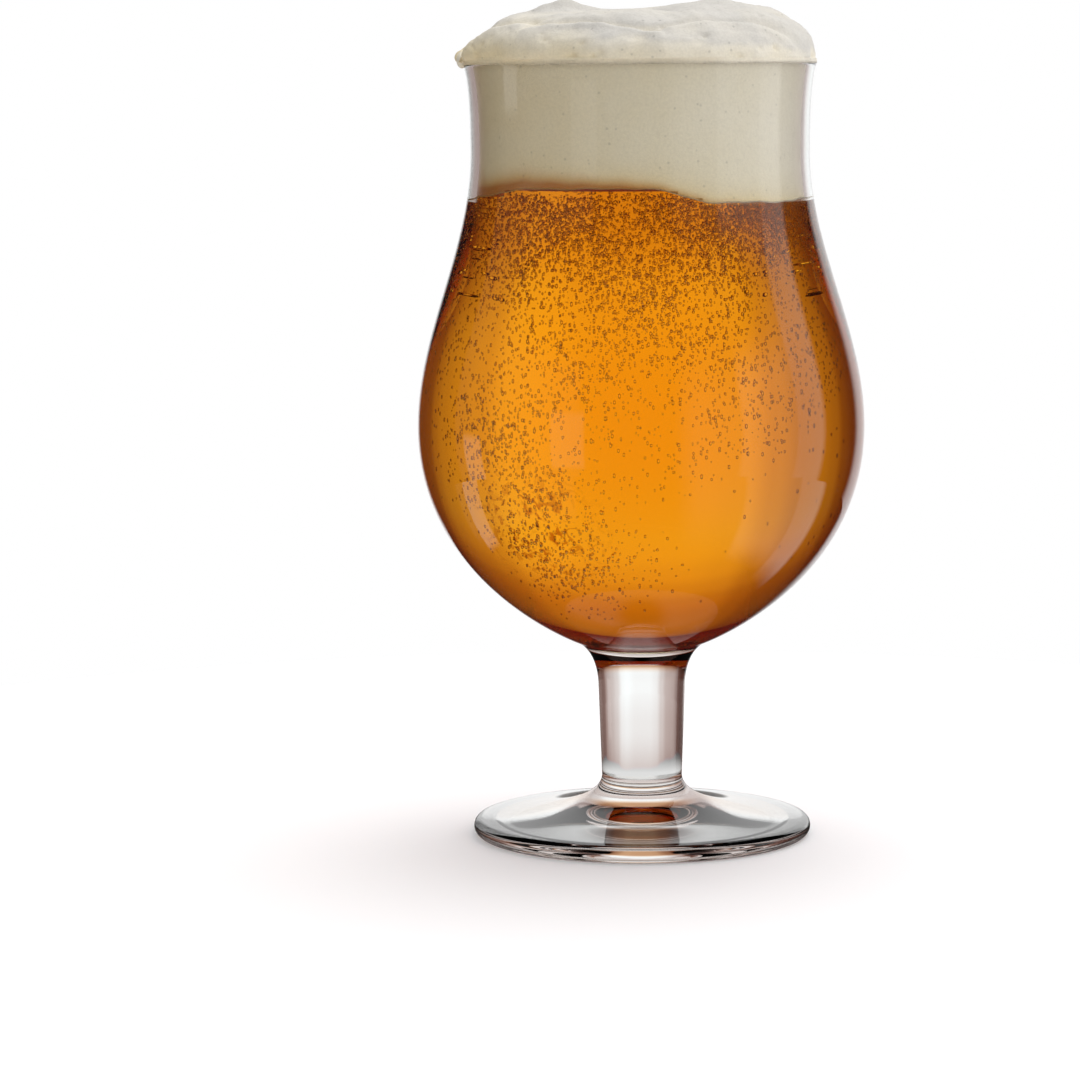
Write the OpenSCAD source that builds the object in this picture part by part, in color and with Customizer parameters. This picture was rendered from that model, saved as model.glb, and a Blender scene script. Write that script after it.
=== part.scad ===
// A stemmed tulip beer glass, filled: clear glass, amber beer and a tall head of foam.
// Millimetres. The origin is the centre of the foot where it stands, +Z is up, and -Y is the front.
// Every round form is one outline turned about Z. The outlines are smooth curves whose sizes are named
// here, and the beer and the foam take theirs from the inside of the same glass.

/* [Foot] */
// Radius of the foot
foot_r = 35; // [30:0.5:42]
// Thickness of the foot's rounded edge
foot_edge_t = 3.6; // [2.8:0.1:5]
// Slope of the foot's upper face at its edge, in degrees
foot_slope = 5; // [1:0.5:9]
// Width of the flat ring that the glass stands on
rest_ring_w = 3; // [1.5:0.5:6]
// How far the hollow under the foot rises at its middle
punt_h = 2.6; // [1:0.1:4]
// Height of the foot's middle, where the stem begins
foot_rise = 12.5; // [10:0.5:16]

/* [Stem] */
// Radius of the stem just above the foot
stem_foot_r = 8.3; // [6:0.1:10]
// Radius of the stem at its upper end
stem_top_r = 9; // [7:0.1:11]
// Length of the stem
stem_len = 19; // [5:0.5:60]

/* [Bowl] */
// Radius where the stem has opened into the bowl
flare_r = 13.7; // [12:0.1:16]
// Height over which the stem opens into the bowl
flare_h = 8.9; // [6:0.1:12]
// Slope of the bowl's underside there, in degrees
flare_slope = 22; // [15:1:30]
// Largest radius of the bowl, outside
belly_r = 46; // [42:0.5:52]
// Height from there up to the largest radius
lower_bowl_h = 44.6; // [34:0.2:56]
// Height from the largest radius up to the narrowest part of the neck
shoulder_h = 56.5; // [40:0.5:75]
// Radius of the narrow neck, outside
neck_r = 34.7; // [30:0.1:40]

/* [Lip] */
// Height from the narrowest part of the neck up to the top of the lip
neck_h = 18.5; // [10:0.5:30]
// Radius of the lip, outside
lip_r = 36; // [34:0.1:40]
// Outward lean of the lip, in degrees
lip_lean = 16; // [6:1:24]

/* [Walls] */
// Thickness of the wall at the belly
belly_wall = 2; // [1.4:0.1:3]
// Thickness of the wall at the neck
neck_wall = 1.8; // [1.2:0.1:3]
// Thickness of the rounded lip
lip_wall = 1.7; // [1.2:0.1:2.6]
// Thickness of the solid glass between the stem's upper end and the floor of the bowl
floor_t = 9; // [8:0.1:14]

/* [Beer and foam] */
// Depth of the foam in the glass, from the lip down to the beer
foam_depth = 28.5; // [8:0.5:70]
// Height of the foam's dome above the lip
dome_h = 9.7; // [5:0.1:20]
// How far the foam's edge swells out where it hangs over the lip
dome_bulge = 1.6; // [0.5:0.1:3]
// Clearance between the lip's top and the foam that hangs over it
lip_clearance = 0.1; // [0.05:0.05:0.5]

/* [Hidden] */

// Fineness: steps along each curve, and round the foam's dome
curve_steps = 14;
arc_steps = 8;
dome_sides = 72;
dome_rings = 16;
$fn = 240;

// Fullness of the curves: the length of each end's tangent as a share of the curve's height or run
foot_top_ease = 0.8;
foot_fillet_ease = 0.4;
flare_ease = 0.4;
bowl_start_ease = 0.28;
bowl_belly_ease = 0.62;
inner_floor_ease = 0.35;
inner_belly_ease = 0.5;
shoulder_ease = 0.35;
neck_ease = 0.24;
punt_ease = 0.5;

// Heights above the table, from the foot up
stem_foot_z = foot_rise;
stem_top_z = stem_foot_z + stem_len;
flare_z = stem_top_z + flare_h;
floor_z = stem_top_z + floor_t;
belly_z = flare_z + lower_bowl_h;
neck_z = belly_z + shoulder_h;
rim_z = neck_z + neck_h;
beer_level_z = rim_z - foam_depth;

edge_r = foot_edge_t / 2;
lip_round_r = lip_wall / 2;
lip_centre = [lip_r - lip_round_r, rim_z - lip_round_r];
inner_belly_r = belly_r - belly_wall;
inner_neck_r = neck_r - neck_wall;
ring_outer_r = foot_r - edge_r;
ring_inner_r = ring_outer_r - rest_ring_w;

// A direction in the outline's plane, turned up from the horizontal by an angle
function heading(angle) = [cos(angle), sin(angle)];

// Points of a cubic curve through a and d that leaves a towards b and reaches d from c
function curve(a, b, c, d) = [for (i = [0 : curve_steps])
    let (t = i / curve_steps, s = 1 - t)
    s * s * s * a + 3 * s * s * t * b + 3 * s * t * t * c + t * t * t * d];

// Points of an arc about a centre, from one angle to another
function arc(centre, r, from, to) = [for (i = [0 : arc_steps])
    centre + r * heading(from + (to - from) * i / arc_steps)];

// The same points without the last, where the next stretch begins with it
function open_end(points) = [for (i = [0 : len(points) - 2]) points[i]];

stem_foot = [stem_foot_r, stem_foot_z];
stem_top = [stem_top_r, stem_top_z];
stem_way = (stem_top - stem_foot) / norm(stem_top - stem_foot);
flare_end = [flare_r, flare_z];
lip_way = [sin(lip_lean), cos(lip_lean)];

// The foot's edge is an arc that ends on the slope of the upper face
foot_edge = arc([foot_r - edge_r, edge_r], edge_r, -90, 90 - foot_slope);
foot_edge_end = foot_edge[arc_steps];
foot_top_run = foot_edge_end[0] - stem_foot_r;
foot_top_rise = stem_foot_z - foot_edge_end[1];
foot_top = curve(foot_edge_end,
    foot_edge_end + foot_top_ease * foot_top_run * heading(180 - foot_slope),
    stem_foot - foot_fillet_ease * foot_top_rise * stem_way,
    stem_foot);

// The solid stem opens into the bowl, which swells to the belly and draws in to the neck
flare = curve(stem_top,
    stem_top + flare_ease * flare_h * stem_way,
    flare_end - flare_ease * flare_h * heading(flare_slope),
    flare_end);
bowl = curve(flare_end,
    flare_end + bowl_start_ease * (belly_r - flare_r) * heading(flare_slope),
    [belly_r, belly_z - bowl_belly_ease * lower_bowl_h],
    [belly_r, belly_z]);

// The shoulder, from a belly radius up to a neck radius, is used outside and inside
function shoulder(r_belly, r_neck) = curve([r_belly, belly_z],
    [r_belly, belly_z + shoulder_ease * shoulder_h],
    [r_neck, neck_z - shoulder_ease * shoulder_h],
    [r_neck, neck_z]);

// The neck, from its narrowest radius up to an end on the lip
function neck(r_neck, end) = curve([r_neck, neck_z],
    [r_neck, neck_z + neck_ease * neck_h],
    end - neck_ease * neck_h * lip_way,
    end);

lip = arc(lip_centre, lip_round_r, -lip_lean, 180 - lip_lean);
lip_inner_end = lip[arc_steps];

outer_side = concat(open_end(foot_edge), open_end(foot_top), [stem_foot], open_end(flare), open_end(bowl),
    open_end(shoulder(belly_r, neck_r)), open_end(neck(neck_r, lip[0])), open_end(lip));

// The inside of the bowl, from the middle of its floor up to the lip
floor_curve = curve([0, floor_z],
    [inner_floor_ease * inner_belly_r, floor_z],
    [inner_belly_r, belly_z - inner_belly_ease * (belly_z - floor_z)],
    [inner_belly_r, belly_z]);
inner_side = concat(open_end(floor_curve), open_end(shoulder(inner_belly_r, inner_neck_r)),
    neck(inner_neck_r, lip_inner_end));

// The hollow under the foot, from its middle out to the ring that the glass stands on
punt = curve([0, punt_h], [punt_ease * ring_inner_r, punt_h],
    [ring_inner_r - punt_ease * ring_inner_r, 0.35 * punt_h], [ring_inner_r, 0]);

// Radius of the inside at the beer's surface
beer_surface_r = lookup(beer_level_z, [for (p = inner_side) [p[1], p[0]]]);

function reversed(points) = [for (i = [len(points) - 1 : -1 : 0]) points[i]];

// The clear glass: foot, stem and bowl in one piece
module glass()
    color([0.86, 0.88, 0.88, 0.4])
        rotate_extrude()
            polygon(concat(punt, outer_side, reversed(inner_side)));

// The beer fills the bowl up to its level
module beer()
    color([0.95, 0.58, 0.08, 0.85])
        rotate_extrude()
            polygon(concat([for (p = inner_side) if (p[1] < beer_level_z) p],
                [[beer_surface_r, beer_level_z], [0, beer_level_z]]));

// The foam in the glass stands on the beer and reaches a little way up into the dome
module foam_column()
    rotate_extrude()
        polygon(concat([[0, beer_level_z], [beer_surface_r, beer_level_z]],
            [for (p = inner_side) if (p[1] > beer_level_z) p],
            [[lip_inner_end[0], rim_z + dome_seat_h], [0, rim_z + dome_seat_h]]));

// The dome: how its edge swells, its uneven top, and how squarely it turns from side to top
dome_seat_h = 1.2;
dome_base_r = lip_centre[0] + 0.4 * lip_round_r;
dome_base_z = rim_z + lip_clearance;
side_power = 0.45;
top_power = 0.9;

// Humps and hollows of the top: the centre, the reach and the height, which is negative for a hollow,
// as shares of the lip's radius and of the dome's height
humps = [
    [[-0.57, -0.13], 0.43, 0.09],
    [[0.54, 0.05], 0.54, 0.25],
    [[0, -0.30], 0.16, -0.36],
    [[-1.10, -0.08], 0.27, -0.93],
    [[0.10, 0.60], 0.34, -0.60],
    [[-0.40, 0.62], 0.30, -0.44],
    [[0.74, 0.52], 0.30, -0.22]
];

// Sum of the humps at a place over the glass
function hump_sum(place, i = 0) = i == len(humps) ? 0 :
    humps[i][2] * exp(-pow(norm(place / lip_r - humps[i][0]) / humps[i][1], 2)) + hump_sum(place, i + 1);

// Swell of the dome's edge at an angle: out on the left, where the foam hangs over the lip, and in on the right
function edge_bulge(angle) = dome_bulge * (0.32 - 0.68 * cos(angle) + 0.1 * cos(3 * angle + 40));

// A point of the dome at an angle round it and a step from its edge, at 0, towards its middle, at 1
function dome_point(angle, step) =
    let (r = dome_base_r * pow(cos(90 * step), side_power) + edge_bulge(angle) * sin(180 * sqrt(step)),
         place = r * heading(angle))
    [place[0], place[1], dome_base_z + dome_h * pow(sin(90 * step), top_power) * (1 + hump_sum(place))];

// The dome of foam is a closed skin: rings from its flat underside to its middle
module foam_dome() {
    rings = [for (j = [0 : dome_rings - 1], i = [0 : dome_sides - 1])
        dome_point(360 * i / dome_sides, pow(j / dome_rings, 1.5))];
    middle = len(rings);
    points = concat(rings, [dome_point(0, 1)]);
    sides = [for (j = [0 : dome_rings - 2], i = [0 : dome_sides - 1])
        let (a = j * dome_sides + i, b = j * dome_sides + (i + 1) % dome_sides)
        each [[a, a + dome_sides, b], [b, a + dome_sides, b + dome_sides]]];
    last = (dome_rings - 1) * dome_sides;
    cap = [for (i = [0 : dome_sides - 1]) [last + i, middle, last + (i + 1) % dome_sides]];
    base = [for (i = [0 : dome_sides - 1]) i];
    polyhedron(points, concat(sides, cap, [base]), convexity = 4);
}

// The head of foam: the column in the glass and the dome that stands over the lip
module foam_head()
    color([0.96, 0.93, 0.86]) {
        foam_column();
        foam_dome();
    }

glass();
beer();
foam_head();
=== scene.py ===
"""A stemmed tulip glass of amber beer with a tall head of foam, on a pale tabletop.

Sizes are in millimetres until a mesh is made. The axes are the frame's: +Z up, and the viewer stands towards
-Y. Turns are in degrees. A place's turn goes anticlockwise from +X, and a direction's from +Y towards +X.
"""

import math

import bpy
import numpy as np
from mathutils import Euler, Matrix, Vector


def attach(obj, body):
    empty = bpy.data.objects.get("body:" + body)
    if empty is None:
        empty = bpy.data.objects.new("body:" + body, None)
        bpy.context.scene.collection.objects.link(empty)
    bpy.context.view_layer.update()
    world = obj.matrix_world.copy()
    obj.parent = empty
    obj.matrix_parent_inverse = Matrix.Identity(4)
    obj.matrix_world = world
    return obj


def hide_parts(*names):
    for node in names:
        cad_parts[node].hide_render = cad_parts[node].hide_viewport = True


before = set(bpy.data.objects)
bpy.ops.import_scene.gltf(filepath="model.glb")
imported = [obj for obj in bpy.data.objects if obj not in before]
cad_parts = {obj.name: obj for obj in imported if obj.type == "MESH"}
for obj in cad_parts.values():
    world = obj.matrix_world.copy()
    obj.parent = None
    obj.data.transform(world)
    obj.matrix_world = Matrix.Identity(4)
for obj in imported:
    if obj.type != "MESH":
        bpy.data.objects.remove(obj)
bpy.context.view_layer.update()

MM = 0.001
DRAW = np.random.default_rng(33)

# The glass's outline, as in the frame
FOOT_R, FOOT_EDGE_T, FOOT_SLOPE, REST_RING_W, PUNT_H, FOOT_RISE = 35.0, 3.6, 5.0, 3.0, 2.6, 12.5
STEM_FOOT_R, STEM_TOP_R, STEM_LEN = 8.3, 9.0, 19.0
FLARE_R, FLARE_H, FLARE_SLOPE = 13.7, 8.9, 22.0
BELLY_R, LOWER_BOWL_H, SHOULDER_H, NECK_R = 46.0, 44.6, 56.5, 34.7
NECK_H, LIP_R, LIP_LEAN = 18.5, 36.0, 16.0
BELLY_WALL, NECK_WALL, LIP_WALL, FLOOR_T = 2.0, 1.8, 1.7, 9.0
FOAM_DEPTH, DOME_H, DOME_BULGE, LIP_CLEARANCE = 28.5, 9.7, 1.6, 0.1

# Fullness of its curves: the length of each end's tangent as a share of the curve's height or run
PUNT_EASE, PUNT_EDGE_EASE = 0.5, 0.35
FOOT_TOP_EASE, FOOT_FILLET_EASE, FLARE_EASE = 0.8, 0.4, 0.4
BOWL_START_EASE, BOWL_BELLY_EASE = 0.28, 0.62
INNER_FLOOR_EASE, INNER_BELLY_EASE = 0.35, 0.5
SHOULDER_EASE, NECK_EASE = 0.35, 0.24

STEM_TOP_Z = FOOT_RISE + STEM_LEN
FLARE_Z = STEM_TOP_Z + FLARE_H
FLOOR_Z = STEM_TOP_Z + FLOOR_T
BELLY_Z = FLARE_Z + LOWER_BOWL_H
NECK_Z = BELLY_Z + SHOULDER_H
RIM_Z = NECK_Z + NECK_H
BEER_Z = RIM_Z - FOAM_DEPTH
LIP_CENTRE = np.array([LIP_R - LIP_WALL / 2, RIM_Z - LIP_WALL / 2])

# The beer wets the glass, so its skin lies a hair inside the wall. So does the wet foam at its lower edge,
# which hides the beer's upper end, and above that the foam stands off the wall by a thin gap of air
BEER_WETS, FOAM_WETS, FOAM_GAP = 0.05, 0.12, 0.08

# Hidden by the foam: how far over its edge the glass still counts as wetted and the beer's side goes on, and
# how far over the beer's height the middles of the beer's lid and of the foam's underside stand
WETTED_OVER_EDGE, BEER_OVER_EDGE = 0.6, 0.5
LID_OVER_BEER, UNDERSIDE_OVER_BEER = 4.0, 3.4

ROUND_STEPS = 256
CURVE_STEPS = 40


# The outline

def heading(angle):
    """Unit vector in the outline's plane, turned up from the horizontal by an angle."""
    return np.array([math.cos(math.radians(angle)), math.sin(math.radians(angle))])


def curve(a, b, c, d, steps=CURVE_STEPS):
    """A cubic Bezier curve from a to d: its four points weighted by powers of t and of 1 - t."""
    t = np.linspace(0, 1, steps + 1)[:, None]
    s = 1 - t
    a, b, c, d = (np.asarray(p, float) for p in (a, b, c, d))
    return s**3 * a + 3 * s * s * t * b + 3 * s * t * t * c + t**3 * d


def arc(centre, r, start, stop, steps=20):
    """An arc: the centre plus the radius times the cosine and sine of the angle."""
    angle = np.radians(np.linspace(start, stop, steps + 1))
    return np.asarray(centre) + r * np.stack([np.cos(angle), np.sin(angle)], 1)


def chain(*stretches):
    """Joins stretches of an outline. Each but the last gives up its end, where the next one starts."""
    return np.vstack([s[:-1] for s in stretches[:-1]] + [stretches[-1]])


def shoulder(r_belly, r_neck):
    """The S-curve from the belly up to the neck, upright at both ends."""
    return curve([r_belly, BELLY_Z], [r_belly, BELLY_Z + SHOULDER_EASE * SHOULDER_H],
                 [r_neck, NECK_Z - SHOULDER_EASE * SHOULDER_H], [r_neck, NECK_Z])


def neck(r_neck, end):
    """The curve from the neck to the lip, where it leans outwards."""
    return curve([r_neck, NECK_Z], [r_neck, NECK_Z + NECK_EASE * NECK_H],
                 end - NECK_EASE * NECK_H * heading(90 - LIP_LEAN), end, 24)


def outer_outline():
    """The glass outside, from under the edge of the foot up and over the lip."""
    edge_r = FOOT_EDGE_T / 2
    edge = arc([FOOT_R - edge_r, edge_r], edge_r, -90, 90 - FOOT_SLOPE)
    stem_foot = np.array([STEM_FOOT_R, FOOT_RISE])
    stem_top = np.array([STEM_TOP_R, STEM_TOP_Z])
    stem_way = (stem_top - stem_foot) / np.linalg.norm(stem_top - stem_foot)
    run, rise = stem_foot[0] - edge[-1][0], FOOT_RISE - edge[-1][1]
    top = curve(edge[-1], edge[-1] - FOOT_TOP_EASE * run * heading(180 - FOOT_SLOPE),
                stem_foot - FOOT_FILLET_EASE * rise * stem_way, stem_foot)
    flare_end = np.array([FLARE_R, FLARE_Z])
    flare = curve(stem_top, stem_top + FLARE_EASE * FLARE_H * stem_way,
                  flare_end - FLARE_EASE * FLARE_H * heading(FLARE_SLOPE), flare_end)
    bowl = curve(flare_end, flare_end + BOWL_START_EASE * (BELLY_R - FLARE_R) * heading(FLARE_SLOPE),
                 [BELLY_R, BELLY_Z - BOWL_BELLY_EASE * LOWER_BOWL_H], [BELLY_R, BELLY_Z])
    lip = arc(LIP_CENTRE, LIP_WALL / 2, -LIP_LEAN, 180 - LIP_LEAN)
    return chain(edge, top, np.linspace(stem_foot, stem_top, 9), flare, bowl, shoulder(BELLY_R, NECK_R),
                 neck(NECK_R, lip[0]), lip)


def inner_outline():
    """The glass inside, from the middle of its floor up to the lip."""
    r_belly, r_neck = BELLY_R - BELLY_WALL, NECK_R - NECK_WALL
    floor = curve([0, FLOOR_Z], [INNER_FLOOR_EASE * r_belly, FLOOR_Z],
                  [r_belly, BELLY_Z - INNER_BELLY_EASE * (BELLY_Z - FLOOR_Z)], [r_belly, BELLY_Z])
    lip_end = LIP_CENTRE + LIP_WALL / 2 * heading(180 - LIP_LEAN)
    return chain(floor, shoulder(r_belly, r_neck), neck(r_neck, lip_end))


INSIDE = inner_outline()


def inner_radius(z):
    """Radius of the glass inside at a height."""
    return np.interp(z, INSIDE[:, 1], INSIDE[:, 0])


def smooth(value):
    """0 up to 0 and 1 from 1 on, with a soft S between."""
    value = np.clip(value, 0, 1)
    return value * value * (3 - 2 * value)


# The foam's lower edge: its height over the beer's, and the swell at the front, with the turns from the
# front at which it begins and is gone, and over how many degrees it rises and falls
EDGE_OVER_BEER, SWELL_H = 0.2, 3.0
SWELL_BEGINS, SWELL_ENDS, SWELL_RISES_OVER, SWELL_FALLS_OVER = -82, 25, 52, 25


def foam_edge(angle):
    """Height of the foam's lower edge at the wall: a broad swell at the front that ends sharply on its
    right, and three sets of small waves round the glass."""
    turn = (np.degrees(angle) + 90 + 180) % 360 - 180
    swell = SWELL_H * smooth((turn - SWELL_BEGINS) / SWELL_RISES_OVER)
    swell = swell * smooth((SWELL_ENDS - turn) / SWELL_FALLS_OVER)
    return (BEER_Z + EDGE_OVER_BEER + swell
            + 0.18 * np.sin(5 * angle + 1.9) + 0.12 * np.sin(13 * angle + 0.4) + 0.08 * np.sin(29 * angle))


# Meshes

def piece(name, points, faces, material, slot):
    """A smooth mesh of points in millimetres, which moves with the glass and takes the material given. Its
    slot is not used.
    """
    mesh = bpy.data.meshes.new(name)
    mesh.from_pydata((points * MM).tolist(), [], faces)
    mesh.polygons.foreach_set("use_smooth", [True] * len(mesh.polygons))
    mesh.materials.append(material)
    mesh.update()
    made = bpy.data.objects.new(name, mesh)
    bpy.context.collection.objects.link(made)
    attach(made, "root")
    return made


def closed_rings(rings, low_pole=None, high_pole=None):
    """Points and faces of a stack of rings, given as rows of points, closed by a point at either end."""
    rows, steps = rings.shape[:2]
    points = rings.reshape(-1, 3)
    i, j = np.meshgrid(np.arange(rows - 1), np.arange(steps), indexing="ij")
    here, beside = i * steps + j, i * steps + (j + 1) % steps
    faces = np.stack([here, beside, beside + steps, here + steps], -1).reshape(-1, 4).tolist()
    ring = np.arange(steps)
    after = (ring + 1) % steps
    last = (rows - 1) * steps
    if low_pole is not None:
        points = np.vstack([points, low_pole])
        faces += np.stack([ring, ring * 0 + len(points) - 1, after], 1).tolist()
    if high_pole is not None:
        points = np.vstack([points, high_pole])
        faces += np.stack([last + ring, last + after, ring * 0 + len(points) - 1], 1).tolist()
    return points, faces


def around(r, z, steps=ROUND_STEPS):
    """Rings of a turned shape: r times the cosine and the sine of the angle, and z, with a row per ring."""
    angle = np.linspace(0, 2 * math.pi, steps, endpoint=False)[None, :]
    return np.stack([r * np.cos(angle), r * np.sin(angle), z + 0 * angle], -1)


def turned(outline):
    """Points and faces of an outline that starts and ends on the axis, turned about it."""
    rings = around(outline[1:-1, :1], outline[1:-1, 1:])
    return closed_rings(rings, [0, 0, outline[0, 1]], [0, 0, outline[-1, 1]])


# Materials

# Soda-lime glass and ale against air
GLASS_IOR, BEER_IOR = 1.52, 1.34
CLEAR_GLASS = "#FDFEFD"

# The brown film on the wetted glass, partly a haze of fine bubbles and partly painted shade under the foam:
# from which height over the beer's it shows and is full, how far it climbs for each millimetre to the right,
# how far its edge wavers, and the real size of its patches
FILM_AND_SHADE_TINT = "#DDC09C"
FILM_SHOWS, FILM_FULL, FILM_CLIMB, FILM_WAVER, FILM_PATCH = -20.0, 2.0, 0.09, 12.0, 9.1

# The streaks of lees: their middle, how far from it they reach and are thickest, and a streak's real width
LEES_TINT = "#9A6230"
LEES_MIDDLE, LEES_REACH, LEES_THICKEST, LEES_STREAK = (-21.0, -34.0, 66.0), 19.0, 4.0, 3.0

# The foam's colours by its wetness, with the painted shade and light that are carried with it. The driest, on
# the dome, stands in the overhead light
FOAM_TONES = (
    (0.0, "#D3CFC8"), (0.12, "#E6DFD0"), (0.33, "#E2D7BE"),
    (0.56, "#E0CFA9"), (0.8, "#CBA56C"), (1.0, "#B0702C"),
)

# Real sizes in the foam: its wet patches, its cells, the lumps that they make, how far apart its open pores
# are, and how high its grain stands
FOAM_PATCH, FOAM_CELL, FOAM_LUMP, FOAM_PORE, FOAM_GRAIN_H = 16.7, 0.42, 2.0, 1.4, 0.3

# How much wetness the patches add or take in all, and the brightness of a cell's middle, its edge and a
# pore, whose darkness is painted shade in its hollow
PATCH_WETNESS = 0.25
CELL_MIDDLE, CELL_EDGE, PORE_MIDDLE = 1.03, 0.93, 0.80


def linear(colour):
    """An sRGB hex colour as the linear RGBA that a node takes."""
    parts = [int(colour[i: i + 2], 16) / 255 for i in (1, 3, 5)]
    return tuple(c / 12.92 if c <= 0.04045 else ((c + 0.055) / 1.055) ** 2.4 for c in parts) + (1.0,)


def add(tree, kind, inputs=None, **settings):
    """Adds a node with its settings. An input, by name or number, is given a value or linked to an output."""
    node = tree.nodes.new(kind)
    for key, value in settings.items():
        setattr(node, key, value)
    for key, value in (inputs or {}).items():
        if isinstance(value, bpy.types.NodeSocket):
            tree.links.new(value, node.inputs[key])
        else:
            node.inputs[key].default_value = value
    return node


def new_material(name):
    """A material whose tree is empty."""
    material = bpy.data.materials.new(name)
    material.use_nodes = True
    material.node_tree.nodes.clear()
    return material, material.node_tree


def glass_face(name, ior):
    """Fire-polished soda-lime glass: clear and mirror-smooth, so it bends and mirrors the studio sharply. The
    face lies against air or against beer."""
    material, tree = new_material(name)
    shader = add(tree, "ShaderNodeBsdfPrincipled", {
        "Base Color": linear(CLEAR_GLASS), "Roughness": 0.0, "IOR": ior, "Transmission Weight": 1.0})
    add(tree, "ShaderNodeOutputMaterial", {"Surface": shader.outputs[0]})
    return material


def wetted_glass():
    """The face of the glass that the beer wets. Under the foam it is tinted brown, partly as a film of
    bubbles too fine to see that takes light as a haze, and partly as painted shade under the foam: thickest
    at the foam, and further down on the left. Brown streaks of lees lie lower."""
    material = glass_face("wetted_soda_lime_glass", GLASS_IOR / BEER_IOR)
    tree = material.node_tree
    place = add(tree, "ShaderNodeTexCoord").outputs["Object"]
    x, _, z = add(tree, "ShaderNodeSeparateXYZ", {0: place}).outputs
    patches = add(tree, "ShaderNodeTexNoise", {
        "Vector": place, "Scale": 1 / (FILM_PATCH * MM), "Detail": 3.0}).outputs[0]
    up = add(tree, "ShaderNodeMath", {0: x, 1: -FILM_CLIMB, 2: z}, operation="MULTIPLY_ADD").outputs[0]
    up = add(tree, "ShaderNodeMath", {
        0: patches, 1: FILM_WAVER * MM, 2: up}, operation="MULTIPLY_ADD").outputs[0]
    # Brown tint under the foam: a haze of fine bubbles together with painted shade under the foam
    film_and_shade = add(tree, "ShaderNodeMapRange", {
        "Value": up, "From Min": (BEER_Z + FILM_SHOWS) * MM, "From Max": (BEER_Z + FILM_FULL) * MM},
        interpolation_type="SMOOTHSTEP").outputs[0]
    tint = add(tree, "ShaderNodeMix", {
        0: film_and_shade, 6: linear(CLEAR_GLASS), 7: linear(FILM_AND_SHADE_TINT)}, data_type="RGBA")
    middle = tuple(value * MM for value in LEES_MIDDLE)
    away = add(tree, "ShaderNodeVectorMath", {0: place, 1: middle}, operation="DISTANCE").outputs["Value"]
    lees = add(tree, "ShaderNodeMapRange", {
        "Value": away, "From Min": LEES_REACH * MM, "From Max": LEES_THICKEST * MM},
        interpolation_type="SMOOTHSTEP").outputs[0]
    streaks = add(tree, "ShaderNodeTexNoise", {
        "Vector": place, "Scale": 1 / (LEES_STREAK * MM), "Detail": 4.0, "Distortion": 1.5}).outputs[0]
    streaks = add(tree, "ShaderNodeMapRange", {
        "Value": streaks, "From Min": 0.5, "From Max": 0.64}, interpolation_type="SMOOTHSTEP").outputs[0]
    lees = add(tree, "ShaderNodeMath", {0: lees, 1: streaks}, operation="MULTIPLY").outputs[0]
    tint = add(tree, "ShaderNodeMix", {0: lees, 6: tint.outputs[2], 7: linear(LEES_TINT)}, data_type="RGBA")
    tree.links.new(tint.outputs[2], tree.nodes["Principled BSDF"].inputs["Base Color"])
    return material


def amber_beer():
    """Filtered ale: a clear liquid that takes blue first and green next, so depth turns it from gold to
    brown. Its skin lies in the wall, whose wetted face does the bending, and lets light straight through."""
    material, tree = new_material("amber_beer")
    skin = add(tree, "ShaderNodeBsdfTransparent", {"Color": linear("#FFFFFF")})
    depth = add(tree, "ShaderNodeVolumeAbsorption", {"Color": linear("#FEE500"), "Density": 66.0})
    add(tree, "ShaderNodeOutputMaterial", {"Surface": skin.outputs[0], "Volume": depth.outputs[0]})
    return material


def gas_bubble():
    """Gas in beer: from beer into gas, so its round face spreads the light and rings it with dark."""
    material, tree = new_material("gas_bubble")
    shader = add(tree, "ShaderNodeBsdfPrincipled", {
        "Base Color": linear("#FFFFFF"), "Roughness": 0.0, "IOR": 1 / BEER_IOR, "Transmission Weight": 1.0})
    add(tree, "ShaderNodeOutputMaterial", {"Surface": shader.outputs[0]})
    return material


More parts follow.
